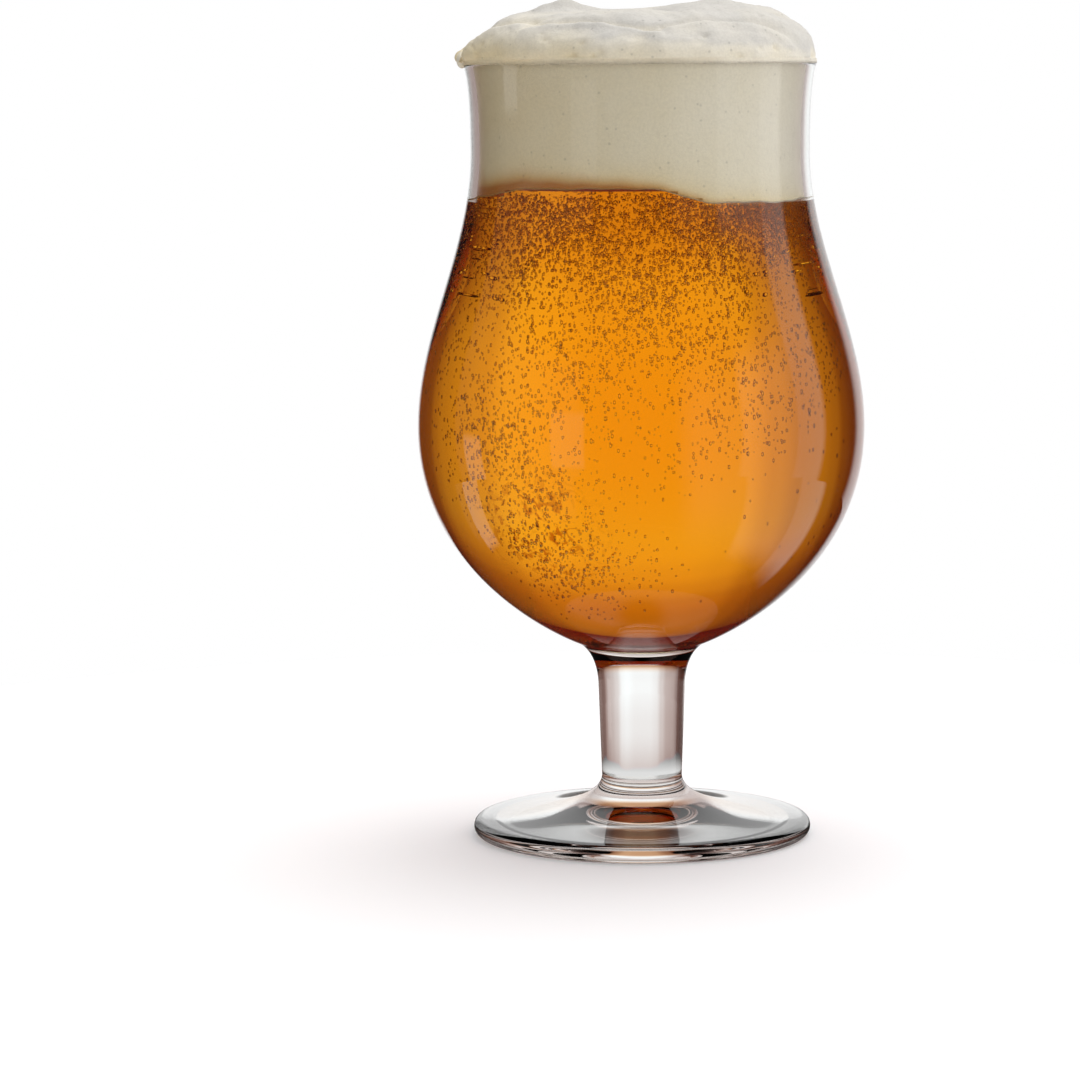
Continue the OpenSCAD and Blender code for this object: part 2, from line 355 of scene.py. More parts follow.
def beer_foam():
    """Beer foam: a matt cream froth of cells about 0.4 mm across, beige where it is wet, and brown at the
    beer. Where it clings to the glass, which holds its light in, it is paler to make up for that."""
    material, tree = new_material("beer_foam")
    place = add(tree, "ShaderNodeTexCoord").outputs["Object"]
    # This attribute carries wetness together with painted shade on the left and in creases, and painted light
    # on swells and at the beer
    wet_and_shade = add(tree, "ShaderNodeAttribute", attribute_name="wetness_and_shade").outputs["Fac"]
    patches = add(tree, "ShaderNodeTexNoise", {
        "Vector": place, "Scale": 1 / (FOAM_PATCH * MM), "Detail": 3.0}).outputs[0]
    wet_and_shaded = add(tree, "ShaderNodeMath", {
        0: patches, 1: PATCH_WETNESS, 2: -PATCH_WETNESS / 2}, operation="MULTIPLY_ADD").outputs[0]
    wet_and_shaded = add(tree, "ShaderNodeMath", {0: wet_and_shaded, 1: wet_and_shade}, operation="ADD").outputs[0]
    tone = add(tree, "ShaderNodeValToRGB", {0: wet_and_shaded})
    stops = tone.color_ramp.elements
    stops[0].color = linear(FOAM_TONES[0][1])
    stops[1].color = linear(FOAM_TONES[-1][1])
    for position, colour in FOAM_TONES[1:-1]:
        stop = stops.new(position)
        stop.color = linear(colour)
    held = add(tree, "ShaderNodeAttribute", attribute_name="held").outputs["Fac"]
    held = add(tree, "ShaderNodeMath", {0: held, 1: -0.5, 2: 1.0}, operation="MULTIPLY_ADD").outputs[0]
    tone = add(tree, "ShaderNodeGamma", {"Color": tone.outputs[0], "Gamma": held}).outputs[0]
    cells = add(tree, "ShaderNodeTexVoronoi", {
        "Vector": place, "Scale": 1 / (FOAM_CELL * MM)}, feature="SMOOTH_F1").outputs[0]
    grain = add(tree, "ShaderNodeMapRange", {
        "Value": cells, "From Max": 0.7, "To Min": CELL_MIDDLE, "To Max": CELL_EDGE}).outputs[0]
    # Open pores are darker in the middle: painted shade in their hollows
    pores = add(tree, "ShaderNodeTexVoronoi", {"Vector": place, "Scale": 1 / (FOAM_PORE * MM)}).outputs
    pore = add(tree, "ShaderNodeMapRange", {
        "Value": pores["Distance"], "From Min": 0.12, "From Max": 0.24, "To Min": PORE_MIDDLE}).outputs[0]
    closed = add(tree, "ShaderNodeMath", {0: pores["Color"], 1: 0.72}, operation="LESS_THAN").outputs[0]
    pore = add(tree, "ShaderNodeMath", {0: pore, 1: closed}, operation="MAXIMUM").outputs[0]
    grain = add(tree, "ShaderNodeMath", {0: grain, 1: pore}, operation="MULTIPLY").outputs[0]
    tone = add(tree, "ShaderNodeVectorMath", {0: tone, "Scale": grain}, operation="SCALE")
    lumps = add(tree, "ShaderNodeTexNoise", {
        "Vector": place, "Scale": 1 / (FOAM_LUMP * MM), "Detail": 4.0}).outputs[0]
    height = add(tree, "ShaderNodeMath", {0: cells, 1: 0.5, 2: lumps}, operation="MULTIPLY_ADD").outputs[0]
    bump = add(tree, "ShaderNodeBump", {
        "Height": height, "Strength": 0.35, "Distance": FOAM_GRAIN_H * MM}).outputs[0]
    shader = add(tree, "ShaderNodeBsdfPrincipled", {
        "Base Color": tone.outputs[0], "Roughness": 0.75, "IOR": 1.33, "Normal": bump})
    add(tree, "ShaderNodeOutputMaterial", {"Surface": shader.outputs[0]})
    return material


# The glass

def make_glass():
    """The glass, turned: hollow under its foot, up its outside, over the lip and down its inside. Where the
    beer wets it, its faces bend light by the ratio of glass to beer, and elsewhere by glass to air."""
    ring_outer = FOOT_R - FOOT_EDGE_T / 2
    ring_inner = ring_outer - REST_RING_W
    punt = curve([0, PUNT_H], [PUNT_EASE * ring_inner, PUNT_H],
                 [PUNT_EASE * ring_inner, PUNT_EDGE_EASE * PUNT_H], [ring_inner, 0])
    rest = np.linspace([ring_inner, 0], [ring_outer, 0], 4)
    outline = chain(punt, rest, outer_outline(), INSIDE[::-1])
    made = piece("tulip_glass", *turned(outline), glass_face("soda_lime_glass", GLASS_IOR), "glass")
    made.data.materials.append(wetted_glass())
    inside = np.arange(len(outline)) >= len(outline) - len(INSIDE)
    angle = np.linspace(0, 2 * math.pi, ROUND_STEPS, endpoint=False)
    wetted = (inside[:, None] & (outline[:, 1:] < foam_edge(angle) + WETTED_OVER_EDGE))[1:-2].ravel()
    fans = np.repeat([False, True], ROUND_STEPS)
    made.data.polygons.foreach_set("material_index", np.concatenate([wetted, fans]).astype(np.int32))
    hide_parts("glass")


# The beer

def make_beer():
    """The beer: the inside of the glass, wetting its wall, up to a lid that the foam hides. Over its last 3
    mm its rings come to rise and fall with the foam's edge."""
    way = np.gradient(INSIDE, axis=0)
    way /= np.linalg.norm(way, axis=1)[:, None]
    side = INSIDE + BEER_WETS * np.stack([way[:, 1], -way[:, 0]], 1)
    side = side[(side[:, 1] > FLOOR_Z + 0.001) & (side[:, 1] < BEER_Z - 3)]
    angle = np.linspace(0, 2 * math.pi, ROUND_STEPS, endpoint=False)[None, :]
    top = foam_edge(angle) + BEER_OVER_EDGE
    z = side[-1, 1] + (top - side[-1, 1]) * np.linspace(0, 1, 9)[1:, None]
    r = inner_radius(z) + BEER_WETS
    collar = np.stack([r * np.cos(angle), r * np.sin(angle), z], -1)
    inward = np.linspace(1, 0, 8)[1:-1, None]
    lid_z = BEER_Z + LID_OVER_BEER
    lid = np.stack([r[-1] * inward * np.cos(angle), r[-1] * inward * np.sin(angle),
                    lid_z + (top - lid_z) * inward], -1)
    rings = np.concatenate([around(side[:, :1], side[:, 1:]), collar, lid])
    points, faces = closed_rings(rings, [0, 0, FLOOR_Z - BEER_WETS], [0, 0, lid_z])
    made = piece("beer_body", points, faces, amber_beer(), "beer")
    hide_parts("beer")


# The bubbles

GOLDEN = (1 + math.sqrt(5)) / 2

# The most that a bubble is drawn out upwards, as a share of its width
BUBBLE_STRETCH = 2.2

# How thick the bubbles lie where they are thinnest, as a share of where they are thickest
THINNEST = 0.3

# Radii of bubbles: the least, how much more the largest have, and the power that makes small ones common
CURTAIN_RADII, CLINGING_RADII, MIST_RADII = (0.13, 0.19, 1.6), (0.12, 0.18, 1.5), (0.10, 0.09, 1)

# How far bubbles lie off the wall at the least, and how much further on the whole
CURTAIN_GAP, CLINGING_GAP, MIST_GAP = 0.12, 0.1, 0.08
CURTAIN_STRAYS, MIST_STRAYS = 0.8, 0.3

# The curtain: how many bubbles it tries and keeps, the share of them that gathers in front, and that share's
# middle turn and spread
CURTAIN_TRIES, CURTAIN_KEPT = 17500, 9900
CURTAIN_FRONT, CURTAIN_TURN, CURTAIN_SPREAD = 0.62, -92, 42

# How far over the beer's height it begins, how bunched it is there, and how it falls off downwards
CURTAIN_OVER_BEER, CURTAIN_BUNCH, CURTAIN_FALL = 1.5, 1.25, 15

# How far down it reaches at the back, how much further in front, and the turn where it reaches furthest
CURTAIN_DOWN, CURTAIN_FURTHER, CURTAIN_FURTHEST_TURN = 30, 28, -98

# The mist: how many bubbles it has, the middle turn and the spread of its thicker part, how far over the
# beer's height it begins, and how it falls off downwards
MIST_COUNT, MIST_TURN, MIST_SPREAD = 6000, -46, 20
MIST_OVER_BEER, MIST_FALL = 2.2, 7

# How far over the floor the lowest of the clinging bubbles may lie
CLINGING_OVER_FLOOR = 8

# Their patches on the lower bowl: the middle's turn and height, the spread in both, and how many bubbles
CLINGING_PATCHES = (
    (-124, 84, 12, 12, 900), (-118, 66, 11, 8, 800), (-140, 92, 9, 12, 300), (-96, 60, 9, 5, 160),
    (-45, 80, 20, 14, 100), (-70, 100, 30, 9, 160),
)


def ball():
    """Points and faces of an icosahedron of radius 1: the corners of three golden rectangles, and each three
    corners that are an edge apart, turned outwards."""
    signs = [(a, b) for a in (-1, 1) for b in (-1, 1)]
    corners = [(0, a, b * GOLDEN) for a, b in signs] + [(a, b * GOLDEN, 0) for a, b in signs]
    corners = np.array(corners + [(b * GOLDEN, 0, a) for a, b in signs]) / math.hypot(1, GOLDEN)
    edge = 2 / math.hypot(1, GOLDEN)
    near = np.abs(np.linalg.norm(corners[:, None] - corners, axis=2) - edge) < 0.01
    triples = np.array([(a, b, c) for a in range(12) for b in range(a) for c in range(b)
                        if near[a, b] and near[b, c] and near[a, c]])
    a, b, c = (corners[triples[:, i]] for i in range(3))
    inwards = (np.cross(b - a, c - a) * a).sum(1) < 0
    triples[inwards] = triples[inwards][:, ::-1]
    return corners, triples


def make_bubbles(name, turn, z, radius, depth, material):
    """Balls in the beer, each at a turn and a height, a depth in from the glass, and drawn out a little
    upwards. All have the same few faces."""
    corners, triples = ball()
    out = inner_radius(z) - depth
    centres = np.stack([out * np.cos(np.radians(turn)), out * np.sin(np.radians(turn)), z], 1)
    spread = radius[:, None] * np.stack([0 * z + 1, 0 * z + 1, DRAW.uniform(1, BUBBLE_STRETCH, len(z))], 1)
    points = (corners * spread[:, None] + centres[:, None]).reshape(-1, 3)
    faces = (triples + len(corners) * np.arange(len(z))[:, None, None]).reshape(-1, 3).tolist()
    return piece(name, points, faces, material, "beer")


def radii(count, least, more, power):
    """Radii of a number of bubbles, from the least up to as much more."""
    return least + more * DRAW.random(count) ** power


def patchiness(turn, z):
    """How thick the bubbles lie, up to 1 where they are thickest: waves round the glass and up it."""
    a = np.radians(turn)
    sum_of_waves = (np.sin(3 * a + z / 9 + 0.5) + np.sin(5 * a - z / 6 + 2.1) + 0.8 * np.sin(9 * a + z / 4)
                    + 0.8 * np.sin(14 * a - z / 2.7 + 1))
    return THINNEST + (1 - THINNEST) * np.clip(0.5 + 0.22 * sum_of_waves, 0, 1)


def bubble_curtain(material):
    """Bubbles that rise inside the wall, mostly in front: crowded under the foam, and thinner down to the
    belly, in front furthest."""
    count = CURTAIN_TRIES
    turn = np.where(DRAW.random(count) < CURTAIN_FRONT,
                    DRAW.normal(CURTAIN_TURN, CURTAIN_SPREAD, count), DRAW.uniform(-180, 180, count))
    z = BEER_Z + CURTAIN_OVER_BEER - DRAW.gamma(CURTAIN_BUNCH, CURTAIN_FALL, count)
    front = np.clip(np.cos(np.radians(turn - CURTAIN_FURTHEST_TURN)), 0, 1)
    lowest = BEER_Z - CURTAIN_DOWN - CURTAIN_FURTHER * front
    keep = (z > lowest) & (DRAW.random(count) < patchiness(turn, z))
    turn, z = turn[keep][:CURTAIN_KEPT], z[keep][:CURTAIN_KEPT]
    radius = radii(len(z), *CURTAIN_RADII)
    depth = radius + CURTAIN_GAP + DRAW.exponential(CURTAIN_STRAYS, len(z))
    return make_bubbles("bubble_curtain", turn, z, radius, depth, material)


def clinging_bubbles(material):
    """Bubbles that cling to the lower bowl in patches."""
    turn = np.concatenate([DRAW.normal(at, wide, count) for at, _, wide, _, count in CLINGING_PATCHES])
    z = np.concatenate([DRAW.normal(up, tall, count) for _, up, _, tall, count in CLINGING_PATCHES])
    keep = (z > FLOOR_Z + CLINGING_OVER_FLOOR) & (z < BEER_Z) & (DRAW.random(len(z)) < patchiness(turn, z))
    turn, z = turn[keep], z[keep]
    radius = radii(len(z), *CLINGING_RADII)
    return make_bubbles("clinging_bubbles", turn, z, radius, radius + CLINGING_GAP, material)


def fine_bubbles(material):
    """A mist of tiny bubbles at the wall just under the foam, thickest on one side."""
    turn = np.concatenate([DRAW.normal(MIST_TURN, MIST_SPREAD, MIST_COUNT * 2 // 3),
                           DRAW.uniform(-180, 180, MIST_COUNT // 3)])
    z = BEER_Z + MIST_OVER_BEER - np.abs(DRAW.normal(0, MIST_FALL, len(turn)))
    radius = radii(len(z), *MIST_RADII)
    depth = radius + MIST_GAP + DRAW.exponential(MIST_STRAYS, len(z))
    return make_bubbles("fine_bubbles", turn, z, radius, depth, material)


# The foam

# Humps of the dome, seen from above: the middle and the radius, as shares of the lip's radius, and the
# height as a share of the dome's. The hollows are below 0
HUMPS = (
    ((-0.57, -0.13), 0.43, 0.09), ((0.54, 0.05), 0.54, 0.25), ((0.0, -0.30), 0.16, -0.36),
    ((-1.10, -0.08), 0.27, -0.93), ((0.10, 0.60), 0.34, -0.60), ((-0.40, 0.62), 0.30, -0.44),
    ((0.74, 0.52), 0.30, -0.22),
)

# Its folds, seen from above: a line's ends, as shares of the lip's radius, and the fold's height and width
FOLDS = (
    ((-0.52, -0.24), (0.02, -0.14), 2.4, 1.9), ((0.02, -0.14), (0.42, 0.22), 1.3, 2.2),
    ((-0.42, -0.16), (-0.34, 0.35), 1.1, 1.2), ((-0.98, -0.25), (-0.60, -0.66), 0.8, 1.5),
    ((-0.62, -0.72), (0.10, -0.94), 0.8, 1.1), ((0.10, -0.90), (0.82, -0.50), 0.9, 1.3),
    ((0.45, -0.45), (0.88, -0.20), 0.5, 1.4),
)

# Its ripples: their height and their length
RIPPLES = ((0.26, 12), (0.08, 4), (0.03, 1.8))

# Its burst bubbles: how many, their least and greatest radius, and their depth as a share of it
BURSTS, BURST_LEAST, BURST_GREATEST, BURST_DEPTH = 60, 0.3, 0.8, 0.6

# How wet the foam is, from 0 for dry, with painted shade and painted light added in: all of it, painted shade
# more on the left, less on the dome, and at the beer, where wetness and painted amber light from the beer
# fall off upwards over a few millimetres, with more painted shade on the left again
WET_ALL, LEFT_SHADE, DRY_DOME = 0.12, 0.42, 0.4
EDGE_WET_AND_LIT, EDGE_LEFT_SHADE, EDGE_FALL = 0.3, 0.85, 2.2

# Painted shade in the creases and painted light on the swells: how much darker each millimetre of a
# crease's depth makes it, and the most that it adds in a crease and takes on a swell. How far over the lip
# the dome is as dry as it gets
CREASE_SHADE, CREASE_DARKEST, SWELL_LIGHTEST, DRY_FROM = 0.12, 0.12, 0.05, 7

# How far over its edge the foam lets go of the glass, over what height, and how far under the lip its column
# ends
LETS_GO_AT, LETS_GO_OVER, COLUMN_UNDER_LIP = 0.1, 0.25, 1.4

# How many steps the foam has round the glass, and how many rows its parts have
FOAM_STEPS, UNDERSIDE_ROWS, COLUMN_ROWS, COLLAR_ROWS, DOME_ROWS = 448, 12, 46, 14, 150

# The drop: half its size along each axis, where it hangs on the lip, and how wet it is
DROP_HALF = (1.1, 3.2, 1.7)
DROP_PLACE = (-LIP_R - 0.2, -3.0, RIM_Z + 0.2)
DROP_WET = 0.25


def dome(angle, step):
    """Points of the foam's dome, from its edge at step 0 to its middle at step 1. The radius falls as a
    power of a cosine, and the height rises as a power of a sine, with bell curves for humps and hollows."""
    turn = np.radians(90 * step)
    swell = DOME_BULGE * (0.32 - 0.68 * np.cos(angle) + 0.1 * np.cos(3 * angle + math.radians(40)))
    r = (LIP_R + LIP_CLEARANCE) * np.cos(turn) ** 0.45 + swell * np.sin(np.pi * np.sqrt(step))
    x, y = r * np.cos(angle), r * np.sin(angle)
    hump = sum(high * np.exp(-((x / LIP_R - at_x) ** 2 + (y / LIP_R - at_y) ** 2) / wide**2)
               for (at_x, at_y), wide, high in HUMPS)
    return np.stack([x, y, RIM_Z + LIP_CLEARANCE + DOME_H * np.sin(turn) ** 0.9 * (1 + hump)], -1)


def ripples(points, size, count=20):
    """Waves of about one length in every direction, added up, so they swell and sink as unevenly as froth."""
    way = DRAW.normal(size=(count, 3))
    way *= 2 * math.pi / size * DRAW.uniform(0.7, 1.4, (count, 1)) / np.linalg.norm(way, axis=1)[:, None]
    return math.sqrt(2 / count) * np.cos(points @ way.T + DRAW.uniform(0, 2 * math.pi, count)).sum(-1)


def fold(points, start, end, height, width):
    """A fold along a line over the glass, seen from above: a swell on the line's right and a crease on its
    left, both bell curves of the distance from the line, which die out past its ends."""
    start, end = np.array(start) * LIP_R, np.array(end) * LIP_R
    way = (end - start) / np.linalg.norm(end - start)
    gap = points[..., :2] - start
    along = gap @ way
    across = way[0] * gap[..., 1] - way[1] * gap[..., 0]
    past = np.maximum(0, np.maximum(-along, along - np.linalg.norm(end - start)))
    swell, crease = (np.exp(-((across / width + at) ** 2)) for at in (0.8, -0.8))
    return height * (0.5 * swell - crease) * np.exp(-((past / width / 1.5) ** 2))


def folded(points):
    """The dome's skin moved out along its normal by ripples, folds and burst bubbles, and by how far."""
    normal = np.cross(np.gradient(points, axis=0), np.gradient(points, axis=1))
    normal /= np.maximum(np.linalg.norm(normal, axis=-1, keepdims=True), 1e-9)
    normal *= np.sign((normal * (points - np.array([0, 0, RIM_Z - 20]))).sum(-1, keepdims=True))
    move = sum(high * ripples(points, long) for high, long in RIPPLES)
    move += sum(fold(points, *line) for line in FOLDS)
    for _ in range(BURSTS):
        middle = points[DRAW.integers(12, len(points) - 40), DRAW.integers(points.shape[1])]
        wide = DRAW.uniform(BURST_LEAST, BURST_GREATEST)
        move -= BURST_DEPTH * wide * np.exp(-(((points - middle) ** 2).sum(-1) / wide**2))
    rows = np.arange(len(points))[:, None]
    move *= np.clip(rows / 10, 0, 1) * np.clip((len(points) - rows) / 12, 0, 1)
    return points + normal * move[..., None], move


def make_foam():
    """The foam as one closed skin: a column that fills the neck from the beer up, the place where it lies
    on the lip, and the dome above. Wetness colours it, most at the beer, where painted amber light adds to
    it;
    painted shade darkens it on the left and in the folds' creases, and painted light brightens their swells."""
    angle = np.linspace(0, 2 * math.pi, FOAM_STEPS, endpoint=False)[None, :]
    edge = foam_edge(angle)
    rise = np.linspace(0, 1, COLUMN_ROWS)[:, None] ** 1.4
    z = edge + (RIM_Z - COLUMN_UNDER_LIP - edge) * rise
    dry = smooth((z - edge - LETS_GO_AT) / LETS_GO_OVER)
    column_r = inner_radius(z) + FOAM_WETS - (FOAM_WETS + FOAM_GAP) * dry
    column = np.stack([column_r * np.cos(angle), column_r * np.sin(angle), z], -1)
    inward = np.linspace(0, 1, UNDERSIDE_ROWS)[1:-1][:, None]
    middle_z = BEER_Z + UNDERSIDE_OVER_BEER
    underside = np.stack([column[0, :, 0] * inward, column[0, :, 1] * inward,
                          middle_z + (edge - middle_z) * inward**4], -1)
    lip = arc(LIP_CENTRE, LIP_WALL / 2 + FOAM_GAP, 180 - LIP_LEAN, 0, COLLAR_ROWS)
    collar = around(lip[:, :1], lip[:, 1:], FOAM_STEPS)
    crown, move = folded(dome(angle, np.linspace(0, 1, DOME_ROWS)[:-1, None] ** 1.5))
    rings = np.concatenate([underside, column, collar, crown])
    points, faces = closed_rings(rings, [0, 0, middle_z], dome(np.zeros(1), np.ones(1)))
    made = piece("foam_crown", points, faces, beer_foam(), "foam")
    up = np.where(np.arange(len(rings))[:, None] < len(underside), 0, rings[..., 2] - edge)
    left = 0.5 - rings[..., 0] / (2 * NECK_R)
    high = smooth((rings[..., 2] - RIM_Z) / DRY_FROM)
    # The left terms are painted shade, and at the beer painted amber light from the beer adds to the wetness
    wet_and_shade = WET_ALL + LEFT_SHADE * left - DRY_DOME * high
    wet_and_shade += (EDGE_WET_AND_LIT + EDGE_LEFT_SHADE * left) * np.exp(-up / EDGE_FALL)
    # Painted shade in the dome's creases and burst pits, and painted light on its swells
    wet_and_shade[-len(crown):] += np.clip(-CREASE_SHADE * move, -SWELL_LIGHTEST, CREASE_DARKEST)
    wet_and_shade = np.append(wet_and_shade.ravel(), [0, 0.1])
    held = np.zeros(rings.shape[:2])
    held[len(underside): len(underside) + len(column)] = 1 - dry
    held = np.append(held.ravel(), [0, 0])
    for name, values in (("wetness_and_shade", np.clip(wet_and_shade, 0, 1)), ("held", held)):
        made.data.attributes.new(name, "FLOAT", "POINT").data.foreach_set("value", values)
    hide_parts("foam_head")


def make_foam_drop():
    """A drop of foam that has run over the lip on the left: a ball drawn out downwards and along the lip."""
    angle = np.linspace(0, 2 * math.pi, 24, endpoint=False)[None, :]
    rise = np.radians(np.linspace(-90, 90, 15)[1:-1])[:, None]
    wide, long, tall = DROP_HALF
    ball_of_foam = np.stack([wide * np.cos(rise) * np.cos(angle), long * np.cos(rise) * np.sin(angle),
                             tall * np.sin(rise) + 0 * angle], -1)
    points, faces = closed_rings(ball_of_foam, [0, 0, -tall], [0, 0, tall])
    foam = bpy.data.materials["beer_foam"]
    made = piece("foam_drop", points + np.array(DROP_PLACE), faces, foam, "foam")
    wetness_and_shade = made.data.attributes.new("wetness_and_shade", "FLOAT", "POINT")
    wetness_and_shade.data.foreach_set("value", np.full(len(points), DROP_WET))


# The studio

# What glass lets through: each row is a direction's turn, or its rise, and the brightness there
PASSED_BY_TURN = (
    (-180, 0.50), (-95, 0.50), (-80, 0.24), (-66, 0.10), (-54, 0.09), (-48, 0.13), (-42, 0.22), (-37, 0.40),
    (-31, 0.50), (-25, 0.54), (-19, 0.72), (-13, 0.96), (-7, 1.02), (5, 1.02), (14, 1.08), (18, 1.04),
    (25, 0.78), (32, 0.66), (39, 0.56), (44, 0.44), (49, 0.24), (55, 0.20), (64, 0.26), (90, 0.44),
    (180, 0.50),
)
PASSED_BY_RISE = (
    (-90, 0.7), (-40, 0.7), (-24, 0.9), (-16, 1.0), (11, 1.0), (16, 0.92), (20, 0.80), (24, 0.67), (30, 0.60),
    (48, 0.60), (56, 0.40), (70, 0.3), (90, 0.3),
)

# It is warmer where it is dimmer, as green and blue fall by these powers, and it has a tint high up, which
# comes in between two rises
GREEN_POWER, BLUE_POWER = 1.35, 1.45
HIGH_TINT, HIGH_FROM, HIGH_TO = "#FFD7AA", 8.0, 26.0

# What it mirrors: a panel's turns, from left to right, its rises, how soft its edges are, and its brightness
MIRRORED = (
    (-16, 34, -30, 60, 5, 1.0),      # the lit white backdrop
    (72, 128, -48, 20, 3, 0.75),     # a soft box on the right
    (72, 94, -50, 24, 3, 1.15),      # its brighter edge
    (120, 158, -40, 18, 8, 0.30),    # what spills from it on the wall behind
    (-148, -70, -36, 22, 2, 0.12),   # a dim wall on the left
    (-90, -77, -40, -4, 1, 1.0),     # a bright door in it
    (-151, -133, -16, 8, 1, 0.5),    # and a blind beside that
)
DARK = 0.015

# The light: its plain level, how much more comes from the right, and the overhead light's direction, how
# narrow it is, as a power of the cosine from there, and its level
PLAIN_LIGHT, RIGHT_LIGHT = 0.79, 0.40
OVERHEAD_WAY, OVERHEAD_POWER, OVERHEAD_LIGHT = (0.10, 0.36, 0.93), 12.0, 3.2

# The board: its white, and the light of its own that the camera sees in it
BOARD_WHITE, BOARD_GLOW = "#F2F1F2", 0.05

# What glass sees in the board near the foot, straight through and after a reflection, and from how far out
BOARD_SEEN, BOARD_SEEN_AGAIN = 0.8, 0.04
BOARD_NEAR, BOARD_FAR = 80.0, 160.0

# A painted brown shadow under the foot, which stands for light that has come through the beer: where it
# lies, how much narrower than deep it is, and how far out it is full and gone
SHADOW_SPOT_TINT, SPOT_PLACE, SPOT_SQUEEZE = "#5D453C", (0.0, -13.0, 0.0), 1.5
SPOT_FULL, SPOT_GONE = 8.0, 22.0


def by_angle(tree, angle, full_turn, stops):
    """A brightness that goes smoothly from row to row of a table, by an angle. The table covers full_turn
    degrees, with 0 in the middle."""
    share = add(tree, "ShaderNodeMath", {
        0: angle, 1: 1 / full_turn, 2: 0.5}, operation="MULTIPLY_ADD").outputs[0]
    ramp = add(tree, "ShaderNodeValToRGB", {0: share})
    ramp.color_ramp.interpolation = "EASE"
    marks = ramp.color_ramp.elements
    for index, (at, level) in enumerate(stops):
        mark = marks[index] if index < 2 else marks.new(1.0)
        mark.position = at / full_turn + 0.5
        mark.color = (level, level, level, 1)
    return ramp.outputs[0]


def window(tree, value, low, high, soft):
    """1 between two values and 0 outside them, with soft edges."""
    rise = add(tree, "ShaderNodeMapRange", {"Value": value, "From Min": low - soft, "From Max": low + soft},
               interpolation_type="SMOOTHSTEP").outputs[0]
    fall = add(tree, "ShaderNodeMapRange", {"Value": value, "From Min": high + soft, "From Max": high - soft},
               interpolation_type="SMOOTHSTEP").outputs[0]
    return add(tree, "ShaderNodeMath", {0: rise, 1: fall}, operation="MULTIPLY").outputs[0]


def studio(tree, direction):
    """What glass lets through and what it mirrors, from a direction: a colour and a brightness."""
    direction = add(tree, "ShaderNodeVectorMath", {0: direction}, operation="NORMALIZE").outputs[0]
    x, y, z = add(tree, "ShaderNodeSeparateXYZ", {0: direction}).outputs
    turn = add(tree, "ShaderNodeMath", {0: x, 1: y}, operation="ARCTAN2").outputs[0]
    turn = add(tree, "ShaderNodeMath", {0: turn}, operation="DEGREES").outputs[0]
    rise = add(tree, "ShaderNodeMath", {0: z}, operation="ARCSINE").outputs[0]
    rise = add(tree, "ShaderNodeMath", {0: rise}, operation="DEGREES").outputs[0]
    passed = add(tree, "ShaderNodeMath", {
        0: by_angle(tree, turn, 360, PASSED_BY_TURN), 1: by_angle(tree, rise, 180, PASSED_BY_RISE)},
        operation="MULTIPLY").outputs[0]
    green = add(tree, "ShaderNodeMath", {0: passed, 1: GREEN_POWER}, operation="POWER").outputs[0]
    blue = add(tree, "ShaderNodeMath", {0: passed, 1: BLUE_POWER}, operation="POWER").outputs[0]
    passed = add(tree, "ShaderNodeCombineColor", {0: passed, 1: green, 2: blue}).outputs[0]
    high = add(tree, "ShaderNodeMapRange", {"Value": rise, "From Min": HIGH_FROM, "From Max": HIGH_TO})
    passed = add(tree, "ShaderNodeMix", {0: high.outputs[0], 6: passed, 7: linear(HIGH_TINT)},
                 data_type="RGBA", blend_type="MULTIPLY").outputs[2]
    mirrored = DARK
    for left, right, low, high, soft, level in MIRRORED:
        panel = add(tree, "ShaderNodeMath", {
            0: window(tree, turn, left, right, soft), 1: window(tree, rise, low, high, 2 * soft)},
            operation="MULTIPLY").outputs[0]
        panel = add(tree, "ShaderNodeMath", {0: panel, 1: level}, operation="MULTIPLY").outputs[0]
        mirrored = add(tree, "ShaderNodeMath", {0: panel, 1: mirrored}, operation="MAXIMUM").outputs[0]
    return passed, mirrored


